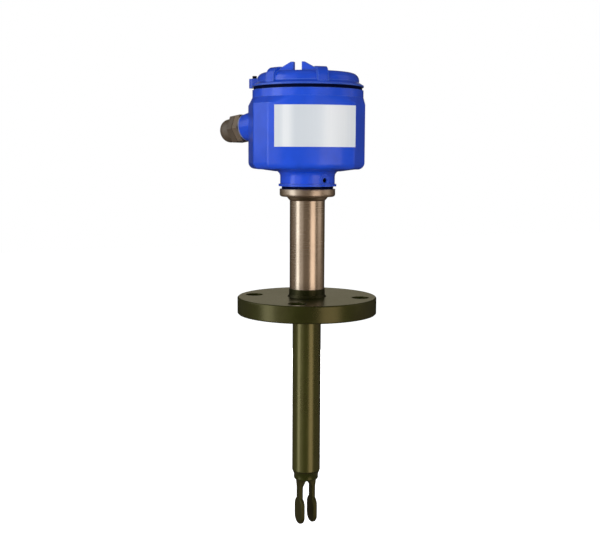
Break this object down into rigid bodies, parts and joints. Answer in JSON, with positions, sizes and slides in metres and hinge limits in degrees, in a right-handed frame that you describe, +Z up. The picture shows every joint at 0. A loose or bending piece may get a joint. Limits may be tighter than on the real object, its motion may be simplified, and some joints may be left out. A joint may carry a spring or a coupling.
{
  "type": "tuning fork level switch",
  "caption": "Vibrating fork level switch with a flanged stem, an extension neck and a cast housing with a screw cover and a cable gland.",
  "frame": {"origin": "centre of the bolt circle on the flange's lower face, on the stem's axis", "axes": "+Z up the stem towards the housing, +X through both tines of the fork"},
  "size_m": [0.127, 0.1541, 0.4228],
  "materials": {
    "coated_steel": "satin",
    "weld_coating": "satin",
    "fork_coating": "satin",
    "bright_steel": "brushed",
    "ceramic": "smooth",
    "brass": "plain",
    "cable_sheath": "matte",
    "black_rubber": "matte",
    "blue_paint": "satin powder coat",
    "plate_metal": "brushed",
    "pale_plastic": "matte",
    "gland_dark": "semi gloss",
    "dark_steel": "blackened",
    "dark_plastic": "matte",
    "board_green": "smooth",
    "terminal_green": "matte",
    "led_green": "clear"
  },
  "bodies": {
    "process": {"flange": "coated_steel", "flange_weld": "weld_coating", "stem_tube": "coated_steel", "fork": "fork_coating", "stack_stud": "bright_steel", "stack_insulators": "ceramic", "piezo_discs": "ceramic", "electrode_plates": "brass", "stack_spring": "bright_steel", "stack_nut": "bright_steel", "sensor_cable": "cable_sheath", "stem_plug": "black_rubber", "neck_tube": "bright_steel", "swivel_adapter": "bright_steel", "swivel_seal_ring": "black_rubber", "neck_seal": "black_rubber", "retaining_ring": "bright_steel", "cable_grommet": "black_rubber"},
    "housing": {"housing_body": "blue_paint", "rating_plate": "plate_metal", "neck_set_screw": "bright_steel", "gland_washer": "pale_plastic", "gland_body": "gland_dark", "gland_seal": "black_rubber", "electronics_cup": "dark_plastic", "circuit_board": "board_green", "cup_screws": "bright_steel", "terminal_block": "terminal_green", "terminal_screws": "bright_steel", "output_relay": "dark_plastic", "cable_header": "pale_plastic", "mode_switch": "dark_plastic", "status_leds": "led_green", "earth_screw": "brass", "earth_clamp": "bright_steel"},
    "gasket": {"cover_gasket": "black_rubber"},
    "cover": {"cover": "blue_paint", "cover_lock_screw": "dark_steel"},
    "gland_ring": {"gland_slip_ring": "pale_plastic"},
    "gland_cap": {"gland_nut": "gland_dark"},
    "slider": {"mode_slider": "pale_plastic"}
  },
  "joints": [
    {"name": "housing_swivel", "type": "hinge", "parent": "process", "child": "housing", "pos_m": [0, 0, 0.13], "axis": [0, 0, 1], "range_deg": [-165, 165]},
    {"name": "cover_lift", "type": "slide", "parent": "housing", "child": "gasket", "axis": [0, 0, 1], "range_m": [0, 0.00801]},
    {"name": "cover_turn", "type": "hinge", "parent": "gasket", "child": "cover", "pos_m": [0, 0, 0.21], "axis": [0, 0, 1], "range_deg": [0, 1440]},
    {"name": "gland_ring_slide", "type": "slide", "parent": "housing", "child": "gland_ring", "axis": [-0.4573, 0.8784, -0.1392], "range_m": [0, 0.004]},
    {"name": "gland_nut_turn", "type": "hinge", "parent": "gland_ring", "child": "gland_cap", "pos_m": [-0.03964, 0.07615, 0.16711], "axis": [-0.4573, 0.8784, -0.1392], "range_deg": [0, 962]},
    {"name": "mode_slide", "type": "slide", "parent": "housing", "child": "slider", "axis": [0.9537, -0.3007, 0], "range_m": [0, 0.003]}
  ],
  "couplings": [
    {"joint": "cover_lift", "follows": "cover_turn", "m_per_rad": 0.00031831},
    {"joint": "gland_nut_turn", "follows": "gland_ring_slide", "rad_per_m": 4188.8}
  ]
}
